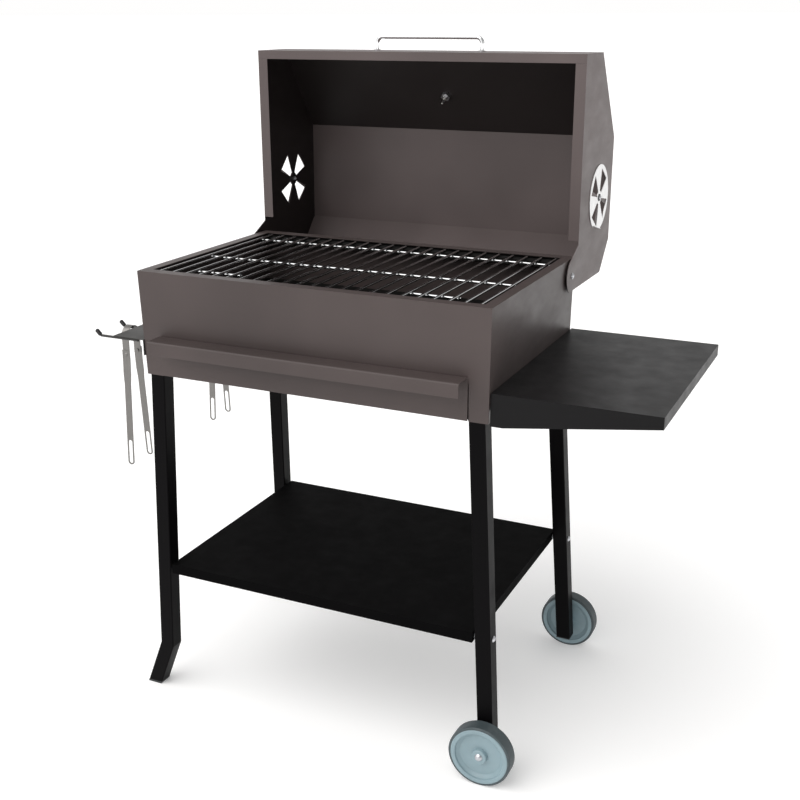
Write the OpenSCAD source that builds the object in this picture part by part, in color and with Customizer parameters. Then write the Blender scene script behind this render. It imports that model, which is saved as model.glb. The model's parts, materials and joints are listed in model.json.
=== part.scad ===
// Charcoal barbecue cart: a sheet-steel firebox with a folded lid that hinges back,
// on four splayed square-tube legs, two of them on wheels.
// X runs left to right, Y from front to back, Z up from the ground. All sizes in millimetres.

/* [Firebox] */
// Width of the firebox across its rim
box_width = 700; // [600:1:800]
// Depth of the firebox from front to back
box_depth = 455; // [400:1:520]
// Height of the firebox walls
box_height = 200; // [160:1:240]
// Height of the rim above the ground
rim_height = 890; // [840:1:940]
// How far the front and side walls lean in by the bottom
wall_taper = 4; // [0:0.5:8]
// Sheet thickness of the firebox
box_sheet = 1.5; // [1:0.1:2]
// Width of the rim flange turned inward
rim_flange = 20; // [12:1:26]

/* [Lid] */
// Height of the folded front panel
lid_front = 112; // [90:1:130]
// Distance from the firebox front to the lid front when closed
lid_setback = 18; // [10:1:24]
// Sheet thickness of the lid
lid_sheet = 1.2; // [1:0.1:1.6]
// Distance from the middle of the cart to the inside of the lid ends
lid_half = 353.2; // [352:0.1:358]
// Width of the lid's rim flange along its two ends
lid_flange = 20; // [12:1:26]
// Width of the lid's rim flange along the front
lid_front_flange = 17; // [12:1:26]
// Radius of the lid's round ear
ear_radius = 34; // [28:1:40]
// Radius of the round vent disc
vent_radius = 66; // [60:1:72]
// Angle each vent opening spans
vent_wedge = 45; // [35:1:50]
// How far the right vent disc is turned from fully open
vent_turn_right = 12; // [-40:1:40]
// How far the left vent disc is turned from fully open
vent_turn_left = -5; // [-40:1:40]
// Length of the lid handle between its feet
handle_length = 231; // [200:1:260]
// How far the handle stands off the lid
handle_standoff = 27; // [20:1:40]

/* [Drawer] */
// Half width of the drawer front
drawer_half = 309.5; // [290:0.5:320]
// How far the folded grip stands out from the drawer front
grip_reach = 41; // [30:1:50]
// Height of the grip's front lip
grip_lip = 26; // [18:1:34]
// Depth of the tray from front to back
tray_depth = 437; // [380:1:445]

/* [Grates] */
// Number of long wires in the cooking grate
bar_count = 23; // [15:1:31]
// Distance between the long wires
bar_pitch = 29; // [20:0.5:40]
// Diameter of the grate wire
wire_d = 5; // [4:0.5:6]

/* [Legs] */
// Outside size of the square leg tube
tube = 30; // [25:1:40]
// Wall of the leg tube
tube_wall = 1.5; // [1:0.1:2.5]
// Sideways splay of every leg in degrees
splay = 2.57; // [0:0.01:4]
// Backward splay of the two rear legs in degrees
rear_splay = 5; // [0:0.5:6]
// Bend of the two feet in degrees
foot_angle = 21.6; // [0:0.1:30]
// Height of the bend above the ground
foot_bend = 103; // [60:1:140]
// Height where the two wheel legs end
wheel_leg_end = 36; // [25:1:50]

/* [Wheels] */
// Outside diameter of the wheel
wheel_d = 120; // [100:1:150]
// Width of the wheel
wheel_w = 30; // [24:1:40]

/* [Shelves] */
// Height of the lower shelf's top
low_shelf_height = 291; // [250:1:330]
// Half width of the lower shelf
low_shelf_half = 324; // [300:1:326]
// Height of the side shelf's top
side_shelf_height = 743.4; // [700:0.1:780]
// Width of the side shelf
side_shelf_width = 288; // [220:1:320]

/* [Tools] */
// Number of prongs on the tool rack
prong_count = 7; // [3:1:9]
// Distance between prongs
prong_pitch = 73.5; // [50:0.5:90]
// Length of the tongs
tong_length = 285; // [240:1:320]

/* [Hidden] */
$fn = 64;
gap = 0.3;
floor_z = rim_height - box_height;
lean = wall_taper / box_height;
// hinge line of the lid
hinge_y = box_depth - 27;
hinge_z = rim_height - 33;
// lid folds when closed, from the front round to the back
lid_base = rim_height + gap;
fold_2 = [lid_setback, rim_height + lid_front];
fold_3 = [188, rim_height + 226];
fold_4 = [398, rim_height + 222];
fold_5 = [459, rim_height + 165];
lid_back_edge = [box_depth + 2.7, hinge_z + box_depth - hinge_y + gap];
vent_at = [299, rim_height + 128];
// legs
leg_top = floor_z + 1;
leg_out = 340.5;
k_splay = tan(splay);
k_foot = tan(foot_angle);
front_leg_y = 5.5;
rear_leg_y = 423;
shelf_bolt_z = low_shelf_height - 12;
axle_z = wheel_d / 2;
// how far the front wheel and its bolt stand in front of the firebox
axle_nose = wheel_w + 4.4 + gap + 4.6 - front_leg_y;
// the drawer's front panel stands just clear of the firebox
front_y = 1;
// tool rack
rack_top = rim_height - 132;
prong_z = rack_top - box_sheet - 2.3;
prong_reach = 447.2;
rack_x = 347.6;
tong_x = -437.5;
tong_places = [1, 5];
// side shelf
side_x = 347.7;
side_y0 = 8;
side_y1 = 463;
// moves everything so that the whole cart is centred over the origin
shift_x = (prong_reach + 14.5 - side_x - side_shelf_width) / 2;
shift_y = -(hinge_y + fold_3[1] - hinge_z - max(axle_nose, grip_reach - front_y)) / 2;
// spring head of the tongs
head_r = 18;
head_z = prong_z + 2.5 + gap - (head_r - 1.2);
rivet_z = head_z - 38;
arm_spread = 3.1;

// ---- helpers ----

module placed() translate([shift_x, shift_y, 0]) children();
module along_x(from, len) translate([from, 0, 0]) rotate([90, 0, 90]) linear_extrude(len) children();
module along_y(from, len) translate([0, from + len, 0]) rotate([90, 0, 0]) linear_extrude(len) children();
module rod_x(x0, x1, y, z, d) translate([x0, y, z]) rotate([0, 90, 0]) cylinder(h = x1 - x0, d = d);
module rod_y(y0, y1, x, z, d) translate([x, y0, z]) rotate([-90, 0, 0]) cylinder(h = y1 - y0, d = d);
module block(a, b) translate(a) cube(b - a);
// the same piece on the left and on the right
module both_sides() { children(); mirror([1, 0, 0]) children(); }
// flat dome head for a screw, seat at z = 0
module dome(d, h) intersection() {
    cylinder(h = h, d = d);
    translate([0, 0, h - (h * h + d * d / 4) / (2 * h)]) sphere(r = (h * h + d * d / 4) / (2 * h));
}
// hexagon nut with a bore, base at z = 0
module hex_nut(across, h, bore) difference() {
    cylinder(h = h, d = across / cos(30), $fn = 6);
    translate([0, 0, -1]) cylinder(h = h + 2, d = bore);
}

// half width and front face of the tapered firebox at a height
function half_at(z) = box_width / 2 - lean * (rim_height - z);
function front_at(z) = lean * (rim_height - z);
// tapered block between two heights, shrunk by e on every side
module tapered(z0, z1, e) polyhedron(
    points = [for (z = [z0, z1]) each [
        [-half_at(z) + e, front_at(z) + e, z], [half_at(z) - e, front_at(z) + e, z],
        [half_at(z) - e, box_depth - e, z], [-half_at(z) + e, box_depth - e, z]]],
    faces = [[0, 1, 2, 3], [7, 6, 5, 4], [4, 5, 1, 0], [5, 6, 2, 1], [6, 7, 3, 2], [7, 4, 0, 3]]);

// folded strip: a path and its copy moved t to the right-hand side
function unit(v) = v / norm(v);
function right_of(a, b) = let (d = unit(b - a)) [d[1], -d[0]];
function corner_shift(p, i, t) = let (n = len(p),
    a = right_of(p[max(i - 1, 0)], p[max(i - 1, 0) + 1]),
    b = right_of(p[min(i, n - 2)], p[min(i, n - 2) + 1]),
    m = unit(a + b)) m * t / (m * a);
function folded(p, t) = concat(p, [for (i = [len(p) - 1 : -1 : 0]) p[i] + corner_shift(p, i, t)]);

// ---- firebox ----

rack_screw_y = [60, 227, 394];
module wall_holes() {
    // hinge bolts, rack screws on the left, side shelf screws on the right
    both_sides() rod_x(330, 360, hinge_y, hinge_z, 6.4);
    for (y = rack_screw_y) {
        rod_x(-360, -330, y, rack_top - 16, 5.2);
        rod_x(330, 360, y, rack_top - 30, 5.2);
    }
}
module firebox() color("#6a605e") placed() difference() {
    tapered(floor_z, rim_height, 0);
    tapered(floor_z - 5, rim_height - box_sheet, box_sheet);
    block([-box_width / 2 + rim_flange, rim_flange + 2, rim_height - 5],
        [box_width / 2 - rim_flange, box_depth - rim_flange, rim_height + 5]);
    block([-drawer_half - 1, -5, floor_z - 5], [drawer_half + 1, 20, floor_z + 67.5]);
    wall_holes();
}
module floor_pan() color("#5c5553") placed() difference() {
    block([-344.3, 5.7, floor_z + 3], [344.3, box_depth - 1.7, floor_z + 14]);
    block([-343.1, -5, floor_z + 4.2], [343.1, box_depth - 2.9, floor_z + 20]);
    plate_holes();
}
module ledge(z, reach) {
    // one strip along the front wall, one along the back wall, each with a turned-down lip
    front = front_at(z - 12) + box_sheet + 0.1;
    along_x(-335, 670) polygon(folded([[front, z - 12], [front, z], [reach, z], [reach, z - 10]], 1.2));
    along_x(-335, 670) polygon(folded([[box_depth + 2 - reach, z - 10], [box_depth + 2 - reach, z],
        [box_depth - 1.7, z], [box_depth - 1.7, z - 12]], 1.2));
}
module cooking_ledges() color("#3c3a3a") placed() ledge(rim_height - 6.9, 42);
module charcoal_ledges() color("#3c3a3a") placed() ledge(rim_height - 115.3, 62);
module drawer_runners() color("#55504e") placed() both_sides()
    along_y(9, 436) polygon([[286, floor_z + 4.2], [306.1, floor_z + 4.2], [306.1, floor_z + 22],
        [304.6, floor_z + 22], [304.6, floor_z + 6.7], [286, floor_z + 6.7]]);

// ---- legs ----

// outline of a leg in the X-Z plane, shrunk by e, for the right side of the cart
function leg_x(z) = leg_out + k_splay * (floor_z - z);
foot_x = leg_x(foot_bend);
function bend_z(a, b) = (b + k_foot * foot_bend - a - k_splay * floor_z) / (k_foot - k_splay);
function straight_leg(e) = [[leg_x(leg_top + 5) - e, leg_top + 5],
    [leg_x(leg_top + 5) - tube + e, leg_top + 5], [leg_x(20) - tube + e, 20], [leg_x(20) - e, 20]];
function bent_leg(e) = let (s = 1 / cos(foot_angle),
    zo = bend_z(leg_out - e, foot_x - e * s), zi = bend_z(leg_out - tube + e, foot_x - (tube - e) * s))
    [[leg_x(leg_top + 5) - e, leg_top + 5], [leg_x(leg_top + 5) - tube + e, leg_top + 5],
    [leg_x(zi) - tube + e, zi], [foot_x - (tube - e) * s + k_foot * (foot_bend + 8), -8],
    [foot_x - e * s + k_foot * (foot_bend + 8), -8], [leg_x(zo) - e, zo]];
module leg_tube(bent, y) difference() {
    along_y(y, tube) polygon(bent ? bent_leg(0) : straight_leg(0));
    along_y(y + tube_wall, tube - 2 * tube_wall) polygon(bent ? bent_leg(tube_wall) : straight_leg(tube_wall));
}
// the rear legs lean back about their top edge
module lean_back() translate([0, rear_leg_y, leg_top]) rotate([rear_splay, 0, 0])
    translate([0, -rear_leg_y, -leg_top]) children();
function rear_y(z) = rear_leg_y + tan(rear_splay) * (leg_top - z);
shelf_bolt_y = [front_leg_y + tube / 2, rear_y(shelf_bolt_z) + tube / 2];
function axle_face(rear) = rear ? rear_y(axle_z) + tube / cos(rear_splay) : front_leg_y;
axle_x = leg_x(axle_z) - tube / 2;
module leg(bent, rear) difference() {
    if (rear) lean_back() leg_tube(bent, rear_leg_y);
    else leg_tube(bent, front_leg_y);
    block([0, -100, leg_top], [500, 700, leg_top + 60]);
    block([0, -100, -60], [500, 700, bent ? 5 : wheel_leg_end]);
    // shelf bolt across the tube
    rod_x(300, 400, shelf_bolt_y[rear ? 1 : 0], shelf_bolt_z, 6.4);
    // seat of the axle boss in the wheel side
    if (!bent) {
        if (rear) rod_y(axle_face(true) - 10, axle_face(true) + 10, axle_x, axle_z, 16);
        else rod_y(axle_face(false) - 10, axle_face(false) + 10, axle_x, axle_z, 16);
    }
}
module leg_front_left() color("#1b1b1c") placed() mirror([1, 0, 0]) leg(true, false);
module leg_back_left() color("#1b1b1c") placed() mirror([1, 0, 0]) leg(true, true);
module leg_front_right() color("#1b1b1c") placed() leg(false, false);
module leg_back_right() color("#1b1b1c") placed() leg(false, true);

// two bolts beside each leg hold its top plate under the floor pan
plate_spots = [[318, 46], [336, 46], [318, 411], [336, 411]];
module plate_holes() both_sides() for (p = plate_spots)
    translate([p[0], p[1], floor_z - 5]) cylinder(h = 30, d = 6.4);
module leg_plates() color("#1b1b1c") placed() difference() {
    both_sides() {
        block([308.5, 6.5, leg_top], [343.6, 57, floor_z + 3]);
        block([308.5, 400, leg_top], [343.6, 452.5, floor_z + 3]);
    }
    plate_holes();
}
module plate_bolts() color("#b9bcc0") placed() both_sides() for (p = plate_spots)
    translate([p[0], p[1], 0]) {
        translate([0, 0, leg_top - 4]) cylinder(h = 4, d = 10 / cos(30), $fn = 6);
        translate([0, 0, leg_top - 1]) cylinder(h = 9, d = 6);
        translate([0, 0, floor_z + 4.2]) cylinder(h = 4.6, d = 10 / cos(30), $fn = 6);
    }
// plastic caps: two under the bent feet, two closing the wheel legs
module foot_cap(y, back) {
    w = tube / cos(foot_angle);
    // a leg that leans back reaches each height a little lower down its own length
    function edge(z) = foot_x - w + k_foot * (foot_bend - (leg_top - (leg_top - z) / cos(back)));
    along_y(y, tube / cos(back)) polygon([[edge(0), 0], [edge(0) + w, 0], [edge(5) + w, 5], [edge(5), 5]]);
    along_y(y + 3, tube / cos(back) - 7.3) polygon([[edge(5) + 2.4, 5], [edge(5) + w - 2.4, 5],
        [edge(20) + w - 2.4, 20], [edge(20) + 2.4, 20]]);
}
module leg_plug(y) {
    x0 = leg_x(wheel_leg_end) - tube;
    block([x0, y, wheel_leg_end - 2.5], [x0 + tube, y + tube, wheel_leg_end]);
    block([x0 + 2.2, y + 2.8, wheel_leg_end - 1], [x0 + tube - 2.8, y + tube - 2.8, wheel_leg_end + 8]);
}
module leg_caps() color("#232a2c") placed() {
    mirror([1, 0, 0]) foot_cap(front_leg_y, 0);
    mirror([1, 0, 0]) foot_cap(rear_y(5), rear_splay);
    leg_plug(front_leg_y);
    leg_plug(rear_y(wheel_leg_end));
}

// ---- lower shelf ----

shelf_y0 = 5;
shelf_y1 = 483;
module lower_shelf() color("#1e1e20") placed() difference() {
    block([-low_shelf_half, shelf_y0, low_shelf_height - 20], [low_shelf_half, shelf_y1, low_shelf_height]);
    block([-low_shelf_half + 1.2, shelf_y0 + 1.2, low_shelf_height - 25],
        [low_shelf_half - 1.2, shelf_y1 - 1.2, low_shelf_height - 1.2]);
    for (y = shelf_bolt_y) both_sides() rod_x(300, 400, y, shelf_bolt_z, 6.4);
}
module shelf_bolts() color("#c3c6ca") placed() both_sides() for (y = shelf_bolt_y) {
    rod_x(316, leg_x(shelf_bolt_z) + 1, y, shelf_bolt_z, 6);
    translate([leg_x(shelf_bolt_z) + gap, y, shelf_bolt_z]) rotate([0, 90, 0]) dome(12, 3.6);
}
module m6_nuts() color("#b4b7bb") placed() both_sides() {
    for (y = shelf_bolt_y)
        translate([low_shelf_half - 6.4, y, shelf_bolt_z]) rotate([0, 90, 0]) hex_nut(10, 5, 6);
    translate([half_at(hinge_z) - 6.8, hinge_y, hinge_z]) rotate([0, 90, 0]) hex_nut(10, 5, 6);
}
module spacers() color("#a7aaad") placed() both_sides() {
    for (y = shelf_bolt_y) translate([low_shelf_half + 0.1, y, shelf_bolt_z]) rotate([0, 90, 0]) difference() {
        cylinder(h = leg_x(shelf_bolt_z) - tube - low_shelf_half - 0.5, d = 13);
        translate([0, 0, -1]) cylinder(h = 9, d = 6.4);
    }
    translate([half_at(hinge_z) + 0.15, hinge_y, hinge_z]) rotate([0, 90, 0]) difference() {
        cylinder(h = lid_half - half_at(hinge_z) - 0.45, d = 14);
        translate([0, 0, -1]) cylinder(h = 9, d = 6.4);
    }
}

// ---- side shelf ----

module side_skirt(e) polygon([[side_x + e, side_shelf_height - e],
    [side_x + side_shelf_width - e, side_shelf_height - e],
    [side_x + side_shelf_width - e, side_shelf_height - 21 - 9 * e],
    [side_x + 22, floor_z - 4.5 - 9 * e], [side_x + e, floor_z - 4.5 - 9 * e]]);
module side_shelf() color("#2c2b2d") placed() difference() {
    along_y(side_y0, side_y1 - side_y0) side_skirt(0);
    along_y(side_y0 + 1.2, side_y1 - side_y0 - 2.4) side_skirt(1.2);
    // the outer skirt stays short and the inner flange stops above the legs
    block([side_x - 5, side_y0 + 1.2, floor_z - 20], [side_x + 5, side_y1 - 1.2, rack_top - 46]);
    for (y = rack_screw_y) rod_x(340, 360, y, rack_top - 30, 5.2);
}

// ---- tool rack ----

module tool_rack() color("#2f2e2e") placed() difference() {
    along_y(0, 452) polygon(folded([[-rack_x, rack_top - 31], [-rack_x, rack_top],
        [-418, rack_top]], -box_sheet));
    for (y = rack_screw_y) rod_x(-360, -340, y, rack_top - 16, 5.2);
}
// one prong under the plate: straight out, then turned up at its end
prong_turn = 45;
module prong_end() translate([-prong_reach - 5 * sin(prong_turn), 0, 5 - 5 * cos(prong_turn)])
    rotate([0, prong_turn - 90, 0]) children();
module prongs() color("#2f2e2e") placed() for (i = [0 : prong_count - 1])
    translate([0, 3 + i * prong_pitch, prong_z]) {
        rod_x(-prong_reach, -362, 0, 0, 5);
        translate([-prong_reach, 0, 5]) rotate([90, 0, 0]) mirror([1, 0, 0]) rotate([0, 0, -90])
            rotate_extrude(angle = prong_turn) translate([5, 0]) circle(d = 5);
    }
// a moulded tip on the end of each prong
module prong_tips() color("#0f0f10") placed() for (i = [0 : prong_count - 1])
    translate([0, 3 + i * prong_pitch, prong_z]) prong_end() {
        translate([0, 0, 0.02]) cylinder(h = 11, d = 8);
        translate([0, 0, 11.02]) dome(8, 2.4);
    }
// screws through the rack flange and the side shelf flange, nuts inside the firebox
module panel_screw() {
    translate([0, 0, gap]) dome(9, 3);
    translate([0, 0, -13]) cylinder(h = 14, d = 5);
    translate([0, 0, -8.2]) cylinder(h = 4, d = 8 / cos(30), $fn = 6);
}
module panel_screws() color("#9fa2a6") placed() for (y = rack_screw_y) {
    translate([-rack_x - box_sheet, y, rack_top - 16]) rotate([0, -90, 0]) panel_screw();
    translate([side_x + 1.2, y, rack_top - 30]) rotate([0, 90, 0]) panel_screw();
}

// ---- lid, drawn closed and then turned back on its hinge ----

module lid_open() placed() translate([0, hinge_y, hinge_z]) rotate([-90, 0, 0])
    translate([0, -hinge_y, -hinge_z]) children();
module lid_wrap() color("#6b6260") lid_open() difference() {
    along_x(-lid_half, 2 * lid_half) polygon(folded([[lid_setback + lid_front_flange, lid_base],
        [lid_setback, lid_base], fold_2, fold_3, fold_4, fold_5, lid_back_edge], lid_sheet));
    both_sides() rod_y(0, 40, handle_length / 2, handle_z, 5.2);
    gauge_place() translate([0, 0, -20]) cylinder(h = 40, d = 10.4);
}
// four vent openings round a screw hole
vent_reach = 54;
module vent_openings(h) {
    for (a = [45 : 90 : 315]) rotate([0, 0, a]) linear_extrude(h) difference() {
        polygon([[0, 0], vent_reach * [1, -tan(vent_wedge / 2)], vent_reach * [1, tan(vent_wedge / 2)]]);
        circle(r = 14);
    }
    cylinder(h = h, d = 5.12);
}
module vent_place(x) translate([x, vent_at[0], vent_at[1]]) rotate([90, 0, 90]) children();
ear_front = [374, lid_base];
module end_outline() {
    polygon([[lid_setback, lid_base], fold_2, fold_3, fold_4, fold_5, [457.6, lid_base]]);
    intersection() {
        translate([hinge_y, hinge_z]) circle(r = ear_radius);
        translate([300, hinge_z - 60]) square([157.6, 100]);
    }
    tangent = asin(ear_radius / norm([hinge_y, hinge_z] - ear_front));
    reach = sqrt(pow(norm([hinge_y, hinge_z] - ear_front), 2) - pow(ear_radius, 2));
    aim = atan2(hinge_z - lid_base, hinge_y - ear_front[0]) - tangent;
    polygon([ear_front - [2, -4], ear_front, ear_front + reach * [cos(aim), sin(aim)], [hinge_y, hinge_z],
        [457.6, hinge_z], [457.6, lid_base + 4]]);
}
module lid_end() {
    difference() {
        along_x(lid_half, lid_sheet) end_outline();
        vent_place(lid_half - 5) vent_openings(20);
        rod_x(lid_half - 5, lid_half + 5, hinge_y, hinge_z, 6.12);
    }
    block([lid_half - lid_flange, lid_setback + lid_front_flange + 0.2, lid_base],
        [lid_half + 0.1, 366, lid_base + lid_sheet]);
}
module lid_end_right() color("#6b6260") lid_open() lid_end();
module lid_end_left() color("#6b6260") lid_open() mirror([1, 0, 0]) lid_end();

handle_z = rim_height + 82;
handle_d = 9;
module handle_half() {
    bend = 12;
    y = lid_setback - handle_standoff;
    rod_x(-1, handle_length / 2 - bend, y, handle_z, handle_d);
    translate([handle_length / 2 - bend, y + bend, handle_z]) rotate([0, 0, -90])
        rotate_extrude(angle = 90) translate([bend, 0]) circle(d = handle_d);
    difference() {
        rod_y(y + bend, lid_setback - 1.2, handle_length / 2, handle_z, handle_d);
        rod_y(lid_setback - 12, lid_setback + 5, handle_length / 2, handle_z, 5);
    }
    difference() {
        rod_y(lid_setback - 1.7, lid_setback, handle_length / 2, handle_z, 15);
        rod_y(lid_setback - 12, lid_setback + 5, handle_length / 2, handle_z, 5);
    }
}
module lid_handle() color("#d8dadd") lid_open() both_sides() handle_half();
module handle_screws() color("#b9bcc0") lid_open() both_sides() {
    rod_y(lid_setback - 11.9, lid_setback + 1.3, handle_length / 2, handle_z, 5);
    translate([handle_length / 2, lid_setback + lid_sheet, handle_z]) rotate([-90, 0, 0]) dome(11, 3.2);
}

// thermometer through the sloping panel, drawn along its own axis
gauge_at = fold_2 + 0.55 * (fold_3 - fold_2);
gauge_turn = atan2(fold_3[1] - fold_2[1], fold_3[0] - fold_2[0]);
module gauge_place() translate([0, gauge_at[0], gauge_at[1]]) rotate([gauge_turn, 0, 0]) children();
module thermometer_case() color("#c9ccd0") lid_open() gauge_place() difference() {
    cylinder(h = 12, d = 58);
    translate([0, 0, 1.5]) cylinder(h = 12, d = 55);
    translate([0, 0, -1]) cylinder(h = 9, d = 10.1);
}
module thermometer_bezel() color("#dcdee0") lid_open() gauge_place() rotate_extrude()
    polygon([[25, 12], [25, 14.4], [27, 15.4], [30.5, 14.6], [31, 9], [29.05, 9], [29.05, 12]]);
module thermometer_dial() color("#ecebe6") lid_open() gauge_place() translate([0, 0, 6]) difference() {
    cylinder(h = 0.8, d = 54.8);
    translate([0, 0, -1]) cylinder(h = 9, d = 6.2);
}
module thermometer_glass() color([0.8, 0.85, 0.86, 0.35]) lid_open() gauge_place()
    translate([0, 0, 10.3]) cylinder(h = 1.6, d = 54.8);
module thermometer_stem() color("#b9bcc0") lid_open() gauge_place() {
    translate([0, 0, -13]) cylinder(h = 16, d = 10);
    translate([0, 0, 2.9]) cylinder(h = 3, d = 6);
    translate([0, 0, 5.8]) cylinder(h = 3.6, d = 2);
    translate([0, 0, -26]) cylinder(h = 14, d = 5);
    translate([0, 0, -26]) sphere(d = 5);
}
module thermometer_nut() color("#b4b7bb") lid_open() gauge_place()
    translate([0, 0, -lid_sheet - 6]) hex_nut(17, 6, 10);
// the needle rests at the cold end of the dial
module thermometer_needle() color("#1a1a1a") lid_open() gauge_place()
    translate([0, 0, 7.3]) rotate([0, 0, 130]) difference() {
        union() {
            cylinder(h = 1.2, d = 7);
            linear_extrude(0.7) polygon([[-1.6, -8], [1.6, -8], [0.9, 21], [0, 23], [-0.9, 21]]);
        }
        translate([0, 0, -1]) cylinder(h = 4, d = 2.12);
    }

// vents on the two lid ends
module vent_disc(turn) {
    vent_place(lid_half + lid_sheet + gap) difference() {
        cylinder(h = 1.2, r = vent_radius);
        translate([0, 0, -1]) rotate([0, 0, turn]) vent_openings(5);
        rotate([0, 0, -14]) translate([60.2, -80, -1]) cube([20, 160, 5]);
    }
    // finger lip bent out along the flat side
    vent_place(lid_half + lid_sheet + gap) rotate([0, 0, -14]) translate([59.1, -23, 0]) cube([1.2, 46, 5]);
}
module vent_disc_right() color("#c9c9ca") lid_open() vent_disc(vent_turn_right);
module vent_disc_left() color("#c9c9ca") lid_open() mirror([1, 0, 0]) vent_disc(vent_turn_left);
// a dark fibre washer lets each disc turn under its screw
module vent_washers() color("#232326") lid_open() both_sides()
    vent_place(lid_half + lid_sheet + 2 * gap + 1.2) difference() {
        cylinder(h = 0.9, d = 14);
        translate([0, 0, -1]) cylinder(h = 3, d = 5.12);
    }
module vent_screws() color("#c3c6ca") lid_open() both_sides() {
    vent_place(lid_half - 7) cylinder(h = 7 + lid_sheet + 3.3, d = 5);
    vent_place(lid_half + lid_sheet + 3 * gap + 2.1) dome(8.5, 3);
}
module vent_nuts() color("#b4b7bb") lid_open() both_sides()
    vent_place(lid_half - 4.6) hex_nut(8, 4.3, 5);

module hinge_bolts() color("#c3c6ca") placed() both_sides() {
    rod_x(half_at(hinge_z) - 10, lid_half + lid_sheet + 1, hinge_y, hinge_z, 6);
    translate([lid_half + lid_sheet + gap, hinge_y, hinge_z]) rotate([0, 90, 0]) dome(13, 3.6);
}

// ---- drawer ----

grip_top = floor_z + 79;
grip_bend = 4;
module drawer_tray() color("#4d4846") placed() difference() {
    block([-304, front_y + 1.2, floor_z + 7], [304, front_y + 1.2 + tray_depth, floor_z + 56]);
    block([-303, front_y + 2.2, floor_z + 8], [303, front_y + 0.2 + tray_depth, floor_z + 90]);
}
// the front panel folds forward at its top and down again into a lip
module grip_corner(y, turn) translate([y, grip_top - grip_bend]) rotate(turn) intersection() {
    difference() {
        circle(r = grip_bend);
        circle(r = grip_bend - 1.2);
    }
    square(grip_bend + 1);
}
module drawer_front() color("#6a605e") placed() along_x(-drawer_half, 2 * drawer_half) {
    lip_y = front_y - grip_reach;
    translate([front_y, floor_z + 1.6]) square([1.2, grip_top - grip_bend - floor_z - 1.6]);
    grip_corner(front_y + 1.2 - grip_bend, 0);
    translate([lip_y + grip_bend, grip_top - 1.2]) square([grip_reach + 1.2 - 2 * grip_bend, 1.2]);
    grip_corner(lip_y + grip_bend, 90);
    translate([lip_y, grip_top - grip_lip]) square([1.2, grip_lip - grip_bend]);
}

// ---- grates ----

bar_z = rim_height - 4.1;
grate_half = (bar_count - 1) * bar_pitch / 2;
module grate_bars() color("#c8cbce") placed() for (i = [0 : bar_count - 1])
    rod_y(27, 430, -grate_half + i * bar_pitch, bar_z, wire_d);
module grate_rods() color("#d2d5d8") placed() {
    z = bar_z - wire_d + 0.1;
    for (y = [204, 396]) rod_x(-grate_half - 2.5, grate_half + 2.5, y, z, wire_d);
    both_sides() rod_x(6 * bar_pitch - 5, 9 * bar_pitch + 5, 75, z, wire_d);
}
module charcoal_grate() color("#45413f") placed() difference() {
    block([-325, 44, rim_height - 115], [325, 413, rim_height - 95]);
    block([-323.5, 45.5, rim_height - 113.5], [323.5, 411.5, rim_height]);
    for (x = [-288 : 36 : 288], y = [68.5 : 68 : 341])
        block([x - 4, y, rim_height - 120], [x + 4, y + 48, rim_height - 110]);
}

// ---- wheels ----

module on_axle(rear) translate([axle_x, rear ? axle_face(true) + 4.4 : axle_face(false) - 4.4, axle_z])
    rotate([rear ? -90 : 90, 0, 0]) children();
// the wheel stands on z = 0 to wheel_w along its axle, away from the leg
module tyre() rotate_extrude() difference() {
    union() {
        translate([55, 3]) square([wheel_d / 2 - 55, wheel_w - 6]);
        translate([50.5, 1]) square([wheel_d / 2 - 53.5, wheel_w - 2]);
        translate([wheel_d / 2 - 3, 4]) circle(r = 3);
        translate([wheel_d / 2 - 3, wheel_w - 4]) circle(r = 3);
        translate([50.5, 7]) square([5, wheel_w - 14]);
    }
    translate([40, -1]) square([10.6, wheel_w + 2]);
    translate([50, -1]) square([5.2, 7.5]);
    translate([50, wheel_w - 6.5]) square([5.2, 7.5]);
}
// half of the wheel's section, from the hub's end out to the tyre's seat, then mirrored for the other face
wheel_face = [[4.06, 0], [13, 0], [14, 1.2], [15, 8], [40, 8.6], [46, 4], [47, 0.6], [49, 0], [54, 0],
    [55.1, 1], [55.1, 6.3], [50.5, 6.3]];
module wheel_centre() rotate_extrude() polygon(concat(wheel_face,
    [for (i = [len(wheel_face) - 1 : -1 : 0]) [wheel_face[i][0], wheel_w - wheel_face[i][1]]]));
module tyre_front() color("#4c5f66") placed() on_axle(false) tyre();
module tyre_rear() color("#4c5f66") placed() on_axle(true) tyre();
module wheel_front() color("#8fa3aa") placed() on_axle(false) wheel_centre();
module wheel_rear() color("#8fa3aa") placed() on_axle(true) wheel_centre();
module axle_bosses() color("#3a3a3c") placed() for (rear = [false, true])
    on_axle(rear) translate([0, 0, -8]) difference() {
        cylinder(h = 5.8, d = 16);
        translate([0, 0, -1]) cylinder(h = 9, d = 8.4);
    }
module axle_washers() color("#a7aaad") placed() for (rear = [false, true])
    on_axle(rear) translate([0, 0, -2]) difference() {
        cylinder(h = 1.6, d = 17);
        translate([0, 0, -1]) cylinder(h = 9, d = 8.4);
    }
module axle_bolts() color("#d5d8db") placed() for (rear = [false, true])
    on_axle(rear) {
        translate([0, 0, -22]) cylinder(h = wheel_w + 22.5, d = 7.96);
        translate([0, 0, wheel_w + gap]) dome(15, 4.6);
    }
module axle_nuts() color("#b4b7bb") placed() for (rear = [false, true])
    on_axle(rear) translate([0, 0, -16]) hex_nut(13, 6.5, 7.96);

// ---- tongs ----

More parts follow.
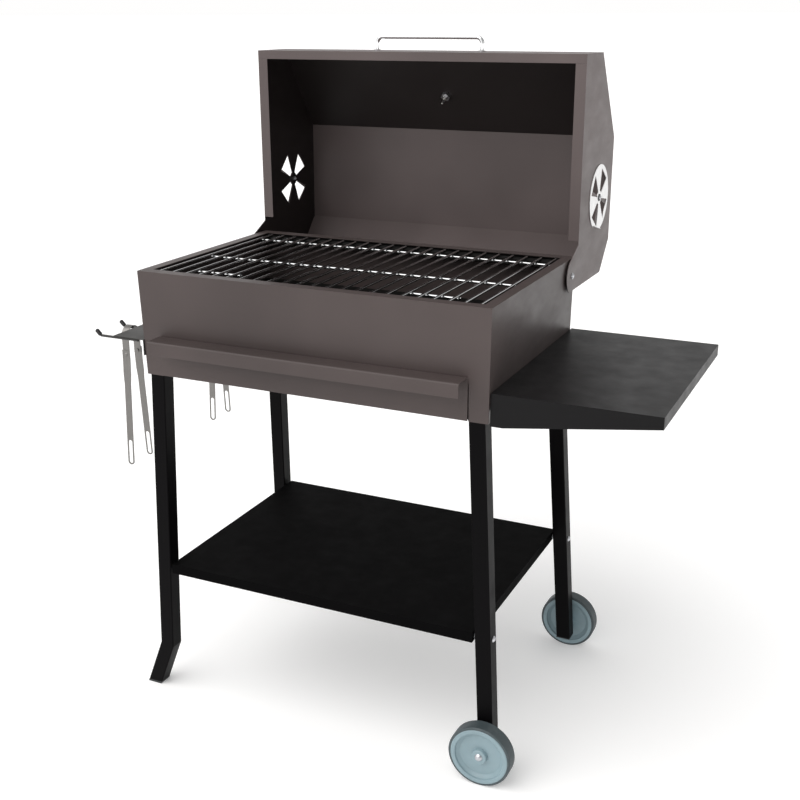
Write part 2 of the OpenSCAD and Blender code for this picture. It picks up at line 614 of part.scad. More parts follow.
module tongs_at(i) placed() translate([0, 3 + tong_places[i] * prong_pitch, 0]) children();
arm_end = head_z + head_r - tong_length;
arm_path = [[head_r, rivet_z + 9], [head_r, rivet_z - 9],
    [head_r + (rivet_z - 9 - arm_end) * tan(arm_spread), arm_end]];
module spring() difference() {
    along_x(tong_x - 8, 16) {
        translate([0, head_z]) intersection() {
            difference() {
                circle(r = head_r);
                circle(r = head_r - 1.2);
            }
            translate([-30, 0]) square([60, 30]);
        }
        for (y = [-head_r, head_r - 1.2]) translate([y, rivet_z - 4.5]) square([1.2, head_z - rivet_z + 4.5]);
    }
    rod_y(-30, 0, tong_x, rivet_z, 4);
    rod_y(0, 30, tong_x, rivet_z, 4.6);
}
// one flat leg with a long slot and a round end; off moves it away from the spring
module flat_leg(off, bore) difference() {
    intersection() {
        along_x(tong_x - 9, 18) translate([off, 0]) polygon(folded(arm_path, -1.2));
        along_y(0, 60) {
            translate([tong_x, 0]) polygon([[-9, rivet_z + 9], [-9, rivet_z - 40], [-7.5, rivet_z - 60],
                [-7.5, arm_end + 7.5], [7.5, arm_end + 7.5], [7.5, rivet_z - 60], [9, rivet_z - 40],
                [9, rivet_z + 9]]);
            translate([tong_x, arm_end + 7.5]) circle(r = 7.5);
        }
    }
    along_y(0, 60) {
        translate([tong_x - 4.5, arm_end + 7.5]) square([9, 40]);
        translate([tong_x, arm_end + 7.5]) circle(r = 4.5);
        translate([tong_x, arm_end + 47.5]) circle(r = 4.5);
    }
    rod_y(0, 30, tong_x, rivet_z, bore);
}
module arm() mirror([0, 1, 0]) {
    flat_leg(0, 4);
    rod_y(head_r - 2, head_r + 1.3, tong_x, rivet_z, 4);
    translate([tong_x, head_r + 1.2, rivet_z]) rotate([-90, 0, 0]) dome(8, 2);
    rod_y(head_r - 2.2, head_r - 1.2, tong_x, rivet_z, 7);
}
module jaw() {
    flat_leg(0.5, 4);
    rod_y(head_r - 2.8, head_r + 1.8, tong_x, rivet_z, 4);
    translate([tong_x, head_r + 1.7, rivet_z]) rotate([-90, 0, 0]) dome(8, 2);
    rod_y(head_r - 2.9, head_r - 1.9, tong_x, rivet_z, 7);
}
module tongs_front_spring() color("#8f8e8c") tongs_at(0) spring();
module tongs_front_arm() color("#8f8e8c") tongs_at(0) arm();
module tongs_front_jaw() color("#8f8e8c") tongs_at(0) jaw();
module tongs_rear_spring() color("#8f8e8c") tongs_at(1) spring();
module tongs_rear_arm() color("#8f8e8c") tongs_at(1) arm();
module tongs_rear_jaw() color("#8f8e8c") tongs_at(1) jaw();

firebox();
floor_pan();
cooking_ledges();
charcoal_ledges();
drawer_runners();
leg_front_left();
leg_back_left();
leg_front_right();
leg_back_right();
leg_plates();
plate_bolts();
leg_caps();
lower_shelf();
shelf_bolts();
m6_nuts();
spacers();
side_shelf();
tool_rack();
prongs();
prong_tips();
panel_screws();
hinge_bolts();
axle_bosses();
axle_bolts();
axle_washers();
axle_nuts();
lid_wrap();
lid_end_left();
lid_end_right();
lid_handle();
handle_screws();
thermometer_case();
thermometer_bezel();
thermometer_dial();
thermometer_glass();
thermometer_stem();
thermometer_nut();
thermometer_needle();
vent_screws();
vent_washers();
vent_nuts();
vent_disc_left();
vent_disc_right();
drawer_tray();
drawer_front();
grate_bars();
grate_rods();
charcoal_grate();
tyre_front();
wheel_front();
tyre_rear();
wheel_rear();
tongs_front_spring();
tongs_front_arm();
tongs_front_jaw();
tongs_rear_spring();
tongs_rear_arm();
tongs_rear_jaw();
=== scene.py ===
# %% [markdown]
# # A charcoal barbecue cart, finished in Blender
# The cart is already built as a working model: sheet-steel firebox, lid on a hinge, drawer, grates,
# legs, wheels and tongs. This notebook loads that model as a fixed frame, gives every piece its
# finish, breaks the sharp edges of sheet and tube, and prints the thermometer's dial. Every mark on
# the dial takes its place from the needle's joint.

# %% Load the frame
import json
import math

import bmesh
import bpy
from mathutils import Matrix, Vector


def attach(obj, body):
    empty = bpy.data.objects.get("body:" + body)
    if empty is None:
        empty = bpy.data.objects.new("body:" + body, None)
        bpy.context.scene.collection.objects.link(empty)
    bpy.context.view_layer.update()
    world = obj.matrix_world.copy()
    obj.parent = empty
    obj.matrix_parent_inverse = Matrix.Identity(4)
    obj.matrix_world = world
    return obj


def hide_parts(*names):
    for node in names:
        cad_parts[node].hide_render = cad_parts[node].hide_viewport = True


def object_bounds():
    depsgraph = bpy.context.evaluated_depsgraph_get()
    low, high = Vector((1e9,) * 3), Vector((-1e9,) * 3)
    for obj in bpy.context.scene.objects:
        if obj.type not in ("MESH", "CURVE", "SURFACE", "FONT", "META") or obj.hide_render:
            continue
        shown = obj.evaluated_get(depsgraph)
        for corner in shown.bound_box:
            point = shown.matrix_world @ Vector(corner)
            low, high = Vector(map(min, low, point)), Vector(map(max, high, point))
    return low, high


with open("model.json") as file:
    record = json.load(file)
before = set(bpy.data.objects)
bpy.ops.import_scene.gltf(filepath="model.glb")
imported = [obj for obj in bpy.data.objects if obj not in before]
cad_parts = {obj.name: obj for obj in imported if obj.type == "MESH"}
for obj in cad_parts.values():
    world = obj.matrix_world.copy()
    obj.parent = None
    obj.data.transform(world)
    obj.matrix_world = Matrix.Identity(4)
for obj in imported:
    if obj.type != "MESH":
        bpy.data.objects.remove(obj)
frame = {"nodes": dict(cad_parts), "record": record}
cad_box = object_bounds()
nodes = frame["nodes"]
joints = {j["name"]: j for j in frame["record"]["behaviour"]["joints"]}
print("pieces in the frame:", len(nodes), "box:", [[round(v, 4) for v in c] for c in cad_box])

# %% [markdown]
# A painted or plated surface is never one flat colour. Each finish below starts from the same few
# building blocks: a noise that reads the piece's own metres, a ramp that turns the noise into the
# range that is wanted, and a bump for what the finger would feel. Because the noise is in metres,
# 900 means a grain of about a millimetre on every piece, large or small.

# %% Building blocks for a finish
def start_finish(name, colour, roughness, metallic=0.0, specular=0.5):
    """A new material with its plain values on the shader itself."""
    finish = bpy.data.materials.new(name)
    finish.use_nodes = True
    tree = finish.node_tree
    shader = tree.nodes["Principled BSDF"]
    shader.inputs["Base Color"].default_value = (*colour, 1)
    shader.inputs["Roughness"].default_value = roughness
    shader.inputs["Metallic"].default_value = metallic
    shader.inputs["Specular IOR Level"].default_value = specular
    place = tree.nodes.new("ShaderNodeTexCoord").outputs["Object"]
    return finish, tree, shader, place


def stretched(tree, place, scale):
    """The same place, squeezed or stretched along each axis."""
    mapping = tree.nodes.new("ShaderNodeMapping")
    mapping.inputs["Scale"].default_value = scale
    tree.links.new(place, mapping.inputs["Vector"])
    return mapping.outputs["Vector"]


def noise(tree, place, scale, detail=3.0, roughness=0.55):
    grain = tree.nodes.new("ShaderNodeTexNoise")
    grain.inputs["Scale"].default_value = scale
    grain.inputs["Detail"].default_value = detail
    grain.inputs["Roughness"].default_value = roughness
    tree.links.new(place, grain.inputs["Vector"])
    return grain.outputs["Fac"]


def between(tree, value, from_low, from_high, low, high):
    """Turns a stretch of a noise into a range of roughness, height or mix."""
    spread = tree.nodes.new("ShaderNodeMapRange")
    for socket, number in zip(("From Min", "From Max", "To Min", "To Max"), (from_low, from_high, low, high)):
        spread.inputs[socket].default_value = number
    tree.links.new(value, spread.inputs["Value"])
    return spread.outputs["Result"]


def blend_colour(tree, factor, first, second):
    """Two colours, or an earlier blend and a colour, mixed by a noise."""
    mix = tree.nodes.new("ShaderNodeMix")
    mix.data_type = "RGBA"
    for socket, colour in ((6, first), (7, second)):
        if isinstance(colour, tuple):
            mix.inputs[socket].default_value = (*colour, 1)
        else:
            tree.links.new(colour, mix.inputs[socket])
    tree.links.new(factor, mix.inputs[0])
    return mix.outputs[2]


def feel(tree, shader, height, strength, distance, under=None):
    """A bump, laid over an earlier one if there is one."""
    bump = tree.nodes.new("ShaderNodeBump")
    bump.inputs["Strength"].default_value = strength
    bump.inputs["Distance"].default_value = distance
    tree.links.new(height, bump.inputs["Height"])
    if under:
        tree.links.new(under, bump.inputs["Normal"])
    tree.links.new(bump.outputs["Normal"], shader.inputs["Normal"])
    return bump.outputs["Normal"]


print("building blocks ready")

# %% [markdown]
# The firebox, the lid and the drawer wear a brown-grey heat-proof enamel with a soft sheen. Sprayed
# enamel shows three things: a slow drift of tone over the sheet, a fine glitter of pigment, and the
# skin of an orange where the drops ran together. A single glossy brown would look like plastic.
# Two of the enamels also carry painted shade, a darkening that goes only by which way a face points
# with the lid up, so the outside of the lid's back, which points the same way, darkens with it. The
# lid's two enamels are also painted lighter than the body's, for the light the lid catches.

# %% Heat-proof enamel
def enamel_finish(name, tone, sheen, painted_shade=None):
    """painted_shade is an axis, and where along it a face's direction begins and ends taking painted shade.
    """
    light = tuple(c * 1.10 for c in tone)
    dark = tuple(c * 0.88 for c in tone)
    finish, tree, shader, place = start_finish(name, tone, sheen, specular=0.3)
    drift = between(tree, noise(tree, place, 4.0, 2.0), 0.35, 0.65, 0.0, 1.0)
    glitter = between(tree, noise(tree, place, 2600.0, 1.0), 0.62, 0.78, 0.0, 0.35)
    base = blend_colour(tree, drift, dark, light)
    colour = blend_colour(tree, glitter, base, tuple(c * 2.1 for c in tone))
    # painted shade: faces turned along the given axis darken towards a seventh of the tone
    if painted_shade:
        facing = tree.nodes.new("ShaderNodeSeparateXYZ")
        tree.links.new(tree.nodes.new("ShaderNodeTexCoord").outputs["Normal"], facing.inputs[0])
        axis, begins, full = painted_shade
        colour = blend_colour(tree, between(tree, facing.outputs[axis], begins, full, 0.0, 0.94), colour,
                              tuple(c * 0.14 for c in tone))
    tree.links.new(colour, shader.inputs["Base Color"])
    wiped = noise(tree, stretched(tree, place, (1.0, 1.0, 2.5)), 14.0, 5.0, 0.6)
    tree.links.new(between(tree, wiped, 0.3, 0.7, sheen - 0.05, sheen + 0.07), shader.inputs["Roughness"])
    skin = feel(tree, shader, noise(tree, place, 420.0, 2.0), 0.10, 0.0003)
    feel(tree, shader, noise(tree, place, 2400.0, 1.0), 0.10, 0.00008, under=skin)
    return finish


enamel = enamel_finish("brown_grey_enamel", (0.068, 0.053, 0.051), 0.40)
# the lid's tone is painted lighter than the body's for the light it catches; painted shade darkens its faces
# that look down, and on its left end the face that looks inward
lid_tone_painted_lighter = (0.112, 0.089, 0.087)
lid_lit_shaded_enamel = enamel_finish("lid_lit_shaded_enamel", lid_tone_painted_lighter, 0.42, painted_shade=("Z", -0.25, -0.5))
left_end_lit_shaded_enamel = enamel_finish("lid_end_lit_shaded_enamel", lid_tone_painted_lighter, 0.42, painted_shade=("X", 0.25, 0.6))
print("enamel:", len(enamel.node_tree.nodes), "nodes")

# %% [markdown]
# Legs and shelves are powder-coated black. Powder melts into a closely pebbled skin that breaks up
# reflections, so black parts read as deep grey only where they face the light. A little dust lies on
# faces that look up, which the normal's upward part picks out, and the same pale specks are also
# painted light from above on those faces.

# %% Black powder coat
def powder_coat(name, tone, sheen, pebble=1100.0, dust=0.25, specular=0.12):
    finish, tree, shader, place = start_finish(name, tone, sheen, specular=specular)
    upward = tree.nodes.new("ShaderNodeSeparateXYZ")
    tree.links.new(tree.nodes.new("ShaderNodeNewGeometry").outputs["Normal"], upward.inputs[0])
    specks = between(tree, noise(tree, place, 38.0, 6.0, 0.65), 0.45, 0.8, 0.0, dust)
    # dust on faces that look up, which also paints light from above onto them
    top_dust_and_painted_light = tree.nodes.new("ShaderNodeMath")
    top_dust_and_painted_light.operation = "MULTIPLY"
    tree.links.new(specks, top_dust_and_painted_light.inputs[0])
    tree.links.new(between(tree, upward.outputs["Z"], 0.6, 1.0, 0.0, 1.0), top_dust_and_painted_light.inputs[1])
    dust_and_painted_light_tone = (0.055, 0.053, 0.055)
    tree.links.new(blend_colour(tree, top_dust_and_painted_light.outputs[0], tone, dust_and_painted_light_tone), shader.inputs["Base Color"])
    tree.links.new(between(tree, noise(tree, place, 22.0, 4.0), 0.3, 0.7, sheen - 0.04, sheen + 0.06),
                   shader.inputs["Roughness"])
    skin = feel(tree, shader, noise(tree, place, pebble, 2.0, 0.5), 0.22, 0.00025)
    feel(tree, shader, noise(tree, place, 180.0, 2.0), 0.06, 0.0004, under=skin)
    return finish


black_coat = powder_coat("black_powder_coat", (0.0026, 0.0023, 0.0027), 0.38, dust=0.08, specular=0.05)
# the side shelf wears the black coat painted lighter, with more dust, for the light from above it
side_coat_painted_lit = powder_coat("side_shelf_coat_painted_lit", (0.0040, 0.0036, 0.0041), 0.40, dust=0.16, specular=0.17)
shelf_coat = powder_coat("matt_shelf_coat", (0.0026, 0.0025, 0.0027), 0.60, dust=0.05, specular=0.02)
soot_black = powder_coat("heat_proof_black", (0.012, 0.0115, 0.011), 0.55, pebble=800.0, dust=0.3)
# the tool rack wears the black coat painted grey for the light from above it
rack_coat_painted_lit = powder_coat("rack_coat_painted_lit", (0.030, 0.029, 0.027), 0.42, dust=0.3, specular=0.3)
print("powder coats:", [m.name for m in (black_coat, side_coat_painted_lit, shelf_coat, soot_black, rack_coat_painted_lit)])

# %% [markdown]
# Bare and plated metals differ in their grain. Chrome is smooth with a faint haze, zinc plating has a
# fine crystal pattern and a touch of blue, and stainless strip is brushed along its length, which is a
# noise stretched a hundredfold the long way.

# %% Plated and brushed metals
def chrome_finish(name, tone, haze, tint=(0.60, 0.56, 0.50), tinted=0.0):
    finish, tree, shader, place = start_finish(name, tone, haze, metallic=1.0)
    cloud = between(tree, noise(tree, place, 26.0, 4.0), 0.5, 0.8, 0.0, tinted)
    tree.links.new(blend_colour(tree, cloud, tone, tint), shader.inputs["Base Color"])
    tree.links.new(between(tree, noise(tree, place, 160.0, 4.0), 0.3, 0.75, haze * 0.7, haze * 1.6),
                   shader.inputs["Roughness"])
    feel(tree, shader, noise(tree, place, 700.0, 2.0), 0.03, 0.0001)
    return finish


def zinc_finish(name, tone, grain=900.0):
    finish, tree, shader, place = start_finish(name, tone, 0.34, metallic=1.0)
    crystals = tree.nodes.new("ShaderNodeTexVoronoi")
    crystals.inputs["Scale"].default_value = grain
    tree.links.new(place, crystals.inputs["Vector"])
    cell = between(tree, crystals.outputs["Distance"], 0.1, 0.7, 0.0, 0.6)
    tree.links.new(blend_colour(tree, cell, tone, tuple(c * 0.72 for c in tone)), shader.inputs["Base Color"])
    haze = between(tree, noise(tree, place, 240.0, 3.0), 0.3, 0.7, 0.26, 0.46)
    tree.links.new(haze, shader.inputs["Roughness"])
    feel(tree, shader, crystals.outputs["Distance"], 0.08, 0.0001)
    return finish


def brushed_finish(name, tone, along, rough=0.34):
    """along is how much the grain is squeezed on each axis: small on the long one."""
    finish, tree, shader, place = start_finish(name, tone, rough, metallic=1.0)
    lines = noise(tree, stretched(tree, place, along), 1.0, 3.0, 0.6)
    tree.links.new(blend_colour(tree, between(tree, lines, 0.3, 0.7, 0.0, 1.0), tuple(c * 0.82 for c in tone),
                                tuple(min(1, c * 1.12) for c in tone)), shader.inputs["Base Color"])
    tree.links.new(between(tree, lines, 0.3, 0.7, rough - 0.07, rough + 0.09), shader.inputs["Roughness"])
    feel(tree, shader, lines, 0.10, 0.0001)
    return finish


grate_chrome = chrome_finish("grate_chrome", (0.62, 0.63, 0.64), 0.13, tinted=0.5)
bright_chrome = chrome_finish("handle_chrome", (0.90, 0.91, 0.92), 0.07)
zinc = zinc_finish("zinc_plate", (0.62, 0.63, 0.66))
tong_steel = brushed_finish("brushed_strip", (0.215, 0.208, 0.20), (1600.0, 1600.0, 14.0))
vent_steel = brushed_finish("plated_vent_steel", (0.80, 0.80, 0.80), (60.0, 1400.0, 60.0), rough=0.40)
stem_steel = brushed_finish("probe_steel", (0.60, 0.59, 0.57), (900.0, 60.0, 60.0), rough=0.28)
print("metals:", [m.name for m in (grate_chrome, bright_chrome, zinc, tong_steel, vent_steel, stem_steel)])

# %% [markdown]
# The wheel has a blue-grey moulded disc inside a darker rubber tyre. Moulded plastic has a low sheen
# and faint flow marks; rubber is rougher, and both carry patches of pale dust.

# %% Plastic and rubber
def moulded(name, tone, sheen, grain, dusty=(0.3, 0.3, 0.29), dust=0.15):
    finish, tree, shader, place = start_finish(name, tone, sheen)
    flow = between(tree, noise(tree, place, 18.0, 3.0), 0.35, 0.7, 0.0, 1.0)
    base = blend_colour(tree, flow, tuple(c * 0.93 for c in tone), tuple(c * 1.07 for c in tone))
    settled = between(tree, noise(tree, place, 75.0, 6.0, 0.7), 0.5, 0.85, 0.0, dust)
    tree.links.new(blend_colour(tree, settled, base, dusty), shader.inputs["Base Color"])
    tree.links.new(between(tree, noise(tree, place, 90.0, 4.0), 0.3, 0.7, sheen - 0.05, sheen + 0.08),
                   shader.inputs["Roughness"])
    feel(tree, shader, noise(tree, place, grain, 3.0), 0.14, 0.00025)
    return finish


tyre_rubber = moulded("tyre_rubber", (0.050, 0.068, 0.075), 0.55, 700.0)
wheel_plastic = moulded("wheel_plastic", (0.235, 0.325, 0.360), 0.38, 1500.0, dust=0.10)
cap_plastic = moulded("foot_plastic", (0.014, 0.017, 0.018), 0.50, 1300.0)
sleeve_vinyl = moulded("tip_vinyl", (0.007, 0.007, 0.008), 0.42, 1800.0, dust=0.06)
print("plastics:", [m.name for m in (tyre_rubber, wheel_plastic, cap_plastic, sleeve_vinyl)])

# %% [markdown]
# The thermometer needs a printed dial, a matt needle and a clear lens. The lens is glass with nothing
# inside it, so all of its numbers sit on the shader, apart from a trace of haze.

# %% Thermometer finishes
dial_paper, tree, shader, place = start_finish("dial_enamel", (0.84, 0.83, 0.79), 0.45)
tree.links.new(blend_colour(tree, between(tree, noise(tree, place, 60.0, 4.0), 0.4, 0.8, 0.0, 1.0),
                            (0.85, 0.84, 0.80), (0.80, 0.785, 0.74)), shader.inputs["Base Color"])
feel(tree, shader, noise(tree, place, 1500.0, 2.0), 0.05, 0.0001)


def print_ink(name, tone):
    finish, tree, shader, place = start_finish(name, tone, 0.5)
    tree.links.new(blend_colour(tree, noise(tree, place, 900.0, 3.0), tuple(c * 0.85 for c in tone),
                                tuple(min(1, c * 1.15) for c in tone)), shader.inputs["Base Color"])
    return finish


ink_black = print_ink("dial_ink", (0.012, 0.012, 0.013))
ink_zones = [print_ink("zone_" + word, tone) for word, tone in
             (("warm", (0.62, 0.42, 0.05)), ("cooking", (0.10, 0.33, 0.09)), ("hot", (0.50, 0.04, 0.03)))]
lens_glass, tree, shader, place = start_finish("lens_glass", (0.95, 0.98, 0.98), 0.02)
shader.inputs["Transmission Weight"].default_value = 1.0
shader.inputs["IOR"].default_value = 1.46
haze = between(tree, noise(tree, place, 200.0, 3.0), 0.3, 0.7, 0.01, 0.04)
tree.links.new(haze, shader.inputs["Roughness"])
print("dial finishes ready")

# %% [markdown]
# Each CAD piece now gets its finish. A table from finish to pieces keeps this in one place, and the
# print shows at once if a piece was forgotten.

# %% Give each piece its finish
finishes = {
    enamel: ["firebox", "floor_pan", "drawer_tray", "drawer_front"],
    lid_lit_shaded_enamel: ["lid_wrap", "lid_end_right"],
    left_end_lit_shaded_enamel: ["lid_end_left"],
    soot_black: ["cooking_ledges", "charcoal_ledges", "drawer_runners", "charcoal_grate"],
    black_coat: ["leg_front_left", "leg_back_left", "leg_front_right", "leg_back_right", "leg_plates",
                 "axle_bosses"],
    side_coat_painted_lit: ["side_shelf"],
    shelf_coat: ["lower_shelf"],
    rack_coat_painted_lit: ["tool_rack", "prongs"],
    grate_chrome: ["grate_bars", "grate_rods"],
    bright_chrome: ["lid_handle", "thermometer_case", "thermometer_bezel"],
    zinc: ["plate_bolts", "shelf_bolts", "m6_nuts", "spacers", "panel_screws", "hinge_bolts", "axle_bolts",
           "axle_washers", "axle_nuts", "handle_screws", "thermometer_nut", "vent_screws",
           "vent_nuts"],
    vent_steel: ["vent_disc_left", "vent_disc_right"],
    stem_steel: ["thermometer_stem"],
    tong_steel: [f"tongs_{end}_{part}" for end in ("front", "rear") for part in ("spring", "arm", "jaw")],
    tyre_rubber: ["tyre_front", "tyre_rear"],
    wheel_plastic: ["wheel_front", "wheel_rear"],
    cap_plastic: ["leg_caps", "vent_washers"],
    sleeve_vinyl: ["prong_tips"],
    dial_paper: ["thermometer_dial"],
    ink_black: ["thermometer_needle"],
    lens_glass: ["thermometer_glass"],
}
for finish, names in finishes.items():
    for name in names:
        for slot in nodes[name].material_slots:
            slot.material = finish
finished = {name for names in finishes.values() for name in names}
print("without a finish:", sorted(set(nodes) - finished))

# %% [markdown]
# Folded sheet has round bends, a cut edge is only slightly broken, and welded tube has round corners.
# The model has them sharp, because a machine part is easiest to check that way. The next helper
# makes the real edge: it joins the CAD mesh into one skin, clears the triangles inside flat faces,
# then bevels only the edges that turn sharply. A least length can be asked for as well, so that the
# long corners of a tube are rounded while its sawn ends stay crisp.

# %% A helper that rounds bends
def clean_copy(name):
    """The CAD node's mesh as one joined skin, with flat faces whole."""
    skin = bmesh.new()
    skin.from_mesh(nodes[name].data)
    bmesh.ops.remove_doubles(skin, verts=skin.verts, dist=2e-6)
    bmesh.ops.dissolve_limit(skin, angle_limit=math.radians(0.6), verts=skin.verts, edges=skin.edges)
    return skin


def round_edges(skin, radius, wanted, segments=3):
    edges = [e for e in skin.edges if len(e.link_faces) == 2 and wanted(e)]
    bmesh.ops.bevel(skin, geom=edges, offset=radius, offset_type="OFFSET", segments=segments,
                    profile=0.5, affect="EDGES", clamp_overlap=True)
    return len(edges)


def finish_skin(skin, name, finish, body, *stands_for):
    """Turns a skin into a shown piece on its body, shaded smooth except at sharp edges."""
    bmesh.ops.recalc_face_normals(skin, faces=skin.faces)
    mesh = bpy.data.meshes.new(name)
    skin.to_mesh(mesh)
    skin.free()
    mesh.materials.append(finish)
    mesh.shade_smooth()
    mesh.set_sharp_from_angle(angle=math.radians(38))
    piece = bpy.data.objects.new(name, mesh)
    bpy.context.scene.collection.objects.link(piece)
    even = piece.modifiers.new("even_shading", "WEIGHTED_NORMAL")
    even.keep_sharp = True
    even.weight = 100
    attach(piece, body)
    if stands_for:
        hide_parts(*stands_for)
    return piece


def sharp_and_long(least, low=25.0, high=155.0):
    """Edges that turn by a fold's angle and are at least so long, in metres."""
    def wanted(edge):
        turn = math.degrees(edge.calc_face_angle(0.0))
        return low < turn < high and edge.calc_length() > least
    return wanted


body_of = {name: body for body, names in frame["record"]["behaviour"]["bodies"].items() for name in names}
print("bodies:", len(set(body_of.values())))

# %% [markdown]
# Legs first, because they show the idea best: four long edges of a square tube, each rounded by a
# little more than the tube's wall, as a drawn tube is. The short edges at the ends stay as sawn.

# %% Round the tube legs
for name in ("leg_front_left", "leg_back_left", "leg_front_right", "leg_back_right"):
    skin = clean_copy(name)
    count = round_edges(skin, 0.0022, sharp_and_long(0.09), segments=4)
    finish_skin(skin, name + "_tube", black_coat, body_of[name], name)
    print(name, "rounded edges:", count)

# %% [markdown]
# The sheet parts are next: firebox, lid, drawer, floor pan, shelves, rack and the feet's caps. One
# bevel of about half a millimetre breaks every sharp edge, folds and cut edges alike. It catches a
# fine line of light along each fold, which is what the eye looks for in sheet metal.

# %% Round the sheet parts
for name, finish, radius in (
    ("firebox", enamel, 0.0006), ("lid_wrap", lid_lit_shaded_enamel, 0.0005), ("lid_end_left", left_end_lit_shaded_enamel, 0.00045),
    ("lid_end_right", lid_lit_shaded_enamel, 0.00045), ("drawer_front", enamel, 0.00045),
    ("lower_shelf", shelf_coat, 0.0005), ("side_shelf", side_coat_painted_lit, 0.0005),
    ("tool_rack", rack_coat_painted_lit, 0.0006), ("leg_caps", cap_plastic, 0.0008),
    ("drawer_tray", enamel, 0.0004), ("floor_pan", enamel, 0.0005),
):
    skin = clean_copy(name)
    count = round_edges(skin, radius, sharp_and_long(0.0), segments=2)
    finish_skin(skin, name + "_sheet", finish, body_of[name], name)
    print(name, "rounded edges:", count)

# %% [markdown]
# The thermometer's dial is printed: a ring of ticks, three coloured zones and plain numbers. Printing
# has a thickness of its own, so each mark is a thin raised band laid on the dial. The
# needle's joint gives the middle of the dial and the way it faces.

# %% Print the dial
needle = joints["needle_turn"]
facing_out = -Vector(needle["axis"]).normalized()
dial_up = Vector((0, facing_out.z, -facing_out.y))
dial_right = Vector((1, 0, 0))
needle_clearance = 0.0005  # from the dial up to the underside of the needle
dial_top = Vector(needle["pos_m"]) - needle_clearance * facing_out
cold_end, sweep = 130, 260  # degrees from the top of the dial, and from cold to hot


def on_dial(angle, radius, height=0.0):
    """A place on the dial, counted counter-clockwise in degrees from its top."""
    a = math.radians(angle)
    return dial_top + radius * (math.cos(a) * dial_up - math.sin(a) * dial_right) + height * facing_out


def printed(name, ink, spans):
    """Raised bands of ink, each given as first angle, last angle, inner and outer radius."""
    skin = bmesh.new()
    sunk, raised = -5e-5, 1.2e-4
    for first, last, inner, outer in spans:
        steps = max(1, round(abs(last - first) / 5))
        rings = [[skin.verts.new(on_dial(first + (last - first) * i / steps, radius, height))
                  for radius, height in ((inner, sunk), (outer, sunk), (outer, raised), (inner, raised))]
                 for i in range(steps + 1)]
        for one, two in zip(rings, rings[1:]):
            for k in range(4):
                skin.faces.new((one[k], one[(k + 1) % 4], two[(k + 1) % 4], two[k]))
        skin.faces.new(rings[0])
        skin.faces.new(rings[-1][::-1])
    return finish_skin(skin, name, ink, "lid")


tick_steps = 40
ticks = []
for i in range(tick_steps + 1):
    angle = cold_end - sweep / tick_steps * i
    ticks.append((angle - 0.5, angle + 0.5, 0.0196 if i % 5 else 0.0184, 0.0218))
printed("dial_ticks", ink_black, ticks)
for word, ink, first, last in (("warm", ink_zones[0], 65, 16), ("cooking", ink_zones[1], 15, -49),
                               ("hot", ink_zones[2], -50, -130)):
    printed("dial_zone_" + word, ink, [(first, last, 0.0224, 0.0243)])
print("ticks:", len(ticks))

# %% [markdown]
# The numbers are plain numerals given a tenth of a millimetre of thickness and laid flat on the
# dial. A real dial is screen printed, so they stand upright all the way round, as here.

# %% Number the dial
def numeral(text, angle):
    curve = bpy.data.curves.new("numeral_curve", "FONT")
    curve.body, curve.size, curve.extrude = text, 0.0046, 0.0001
    curve.align_x = curve.align_y = "CENTER"
    shape = bpy.data.objects.new("numeral_shape", curve)
    skin = bmesh.new()
    skin.from_mesh(bpy.data.meshes.new_from_object(shape))
    bpy.data.objects.remove(shape)
    bmesh.ops.remove_doubles(skin, verts=skin.verts, dist=1e-7)
    turned = Matrix((dial_right, dial_up, facing_out)).transposed().to_4x4()
    laid = Matrix.Translation(on_dial(angle, 0.0148, 0.00005)) @ turned
    bmesh.ops.transform(skin, matrix=laid, verts=skin.verts)
    return finish_skin(skin, "dial_number_" + text, ink_black, "lid")


scale = ("0", "100", "200", "300", "400")
numbers = {text: numeral(text, cold_end - sweep / 4 * i) for i, text in enumerate(scale)}
print("numbers:", list(numbers))

# %% [markdown]
# The stage is a pale floor, large enough to reach the horizon. It stands in for a roll of studio
# paper, which hides where the floor ends.

# %% Lay the floor
reach = 1500.0
corners = [(-reach, -reach, 0), (reach, -reach, 0), (reach, reach, 0), (-reach, reach, 0)]
floor_mesh = bpy.data.meshes.new("studio_floor")
floor_mesh.from_pydata(corners, [], [(0, 1, 2, 3)])
floor = bpy.data.objects.new("studio_floor", floor_mesh)
bpy.context.scene.collection.objects.link(floor)
floor_paint, tree, shader, place = start_finish("pale_floor", (0.93, 0.93, 0.93), 0.9, specular=0.0)
tree.links.new(blend_colour(tree, noise(tree, place, 3.0, 4.0), (0.92, 0.92, 0.92), (0.94, 0.94, 0.94)),
               shader.inputs["Base Color"])
# the floor glows a little, like a light table, so that no shadow on it is deep
shader.inputs["Emission Color"].default_value = (1.0, 1.0, 1.0, 1)
shader.inputs["Emission Strength"].default_value = 0.22
floor_mesh.materials.append(floor_paint)
print("floor reaches", reach, "m each way")

# %% [markdown]
# The light is soft and comes from three places: white surroundings that are brightest near the
# horizon and dimmer on the right, one very wide light high at the front left, and a weak
# softbox on the right. Wide lights keep the shadows pale and the sheen on sheet metal broad.

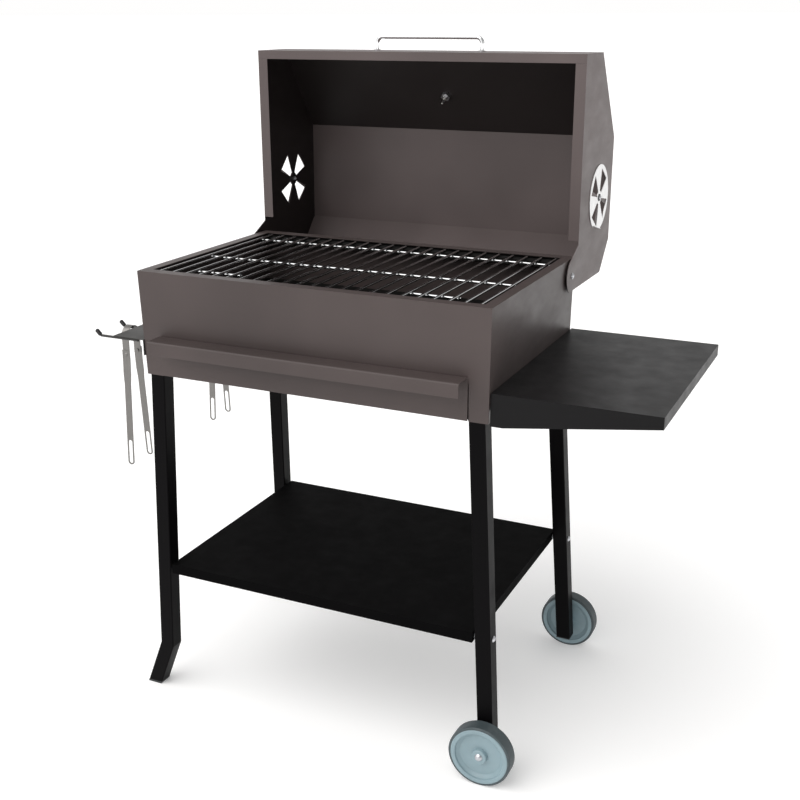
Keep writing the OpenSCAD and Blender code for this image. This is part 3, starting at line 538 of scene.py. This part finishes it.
# %% Light the cart
world = bpy.data.worlds.new("studio")
bpy.context.scene.world = world
world.use_nodes = True
tree = world.node_tree
sky = tree.nodes["Background"]
parts = tree.nodes.new("ShaderNodeSeparateXYZ")
tree.links.new(tree.nodes.new("ShaderNodeTexCoord").outputs["Generated"], parts.inputs[0])
dimmed = tree.nodes.new("ShaderNodeMath")
dimmed.operation = "MULTIPLY"
tree.links.new(between(tree, parts.outputs["Z"], 0.02, 0.40, 1.0, 0.75), dimmed.inputs[0])
tree.links.new(between(tree, parts.outputs["X"], 0.05, 0.80, 1.0, 0.40), dimmed.inputs[1])
tree.links.new(dimmed.outputs[0], sky.inputs["Strength"])
sky.inputs["Color"].default_value = (1.0, 0.995, 0.99, 1)

sun = bpy.data.objects.new("high_window", bpy.data.lights.new("high_window", "SUN"))
sun.data.energy = 1.9
sun.data.angle = math.radians(70)
sun.data.color = (1.0, 0.985, 0.97)
sun.rotation_euler = Vector((-0.45, -0.75, 0.95)).to_track_quat("Z", "Y").to_euler()
bpy.context.scene.collection.objects.link(sun)


def softbox(name, place, aim, width, height, power, tone=(1.0, 0.98, 0.96)):
    lamp = bpy.data.lights.new(name, "AREA")
    lamp.shape = "RECTANGLE"
    lamp.size, lamp.size_y, lamp.energy, lamp.color = width, height, power, tone
    light = bpy.data.objects.new(name, lamp)
    light.location = place
    light.rotation_euler = (Vector(aim) - Vector(place)).to_track_quat("-Z", "Y").to_euler()
    bpy.context.scene.collection.objects.link(light)
    return light


middle = Vector([(a + b) / 2 for a, b in zip(cad_box[0], cad_box[1])])
side_light = softbox("side_right", (3.0, 0.6, 1.6), middle, 1.4, 1.8, 5.0)
print("lights:", sun.name, side_light.name)

# %% [markdown]
# The camera stands at the front right, a little above the open lid, and looks down across the
# grate, so that the lid, the drawer and the side shelf all show. A long lens keeps the legs upright.

# %% Place the camera
camera = bpy.data.objects.new("camera", bpy.data.cameras.new("camera"))
camera.data.lens = 51.5
camera.data.sensor_width = 36.0
camera.location = (0.8844, -2.0047, 1.3393)
aside, downward, roll = 25.04, 18.67, -0.21  # degrees
turn = Matrix.Rotation(math.radians(aside), 3, "Z") @ Matrix.Rotation(math.radians(90 - downward), 3, "X")
camera.rotation_euler = (turn @ Matrix.Rotation(math.radians(roll), 3, "Z")).to_euler()
bpy.context.scene.collection.objects.link(camera)
bpy.context.scene.camera = camera
bpy.context.scene.view_settings.view_transform = "Standard"
print("camera at", tuple(camera.location))
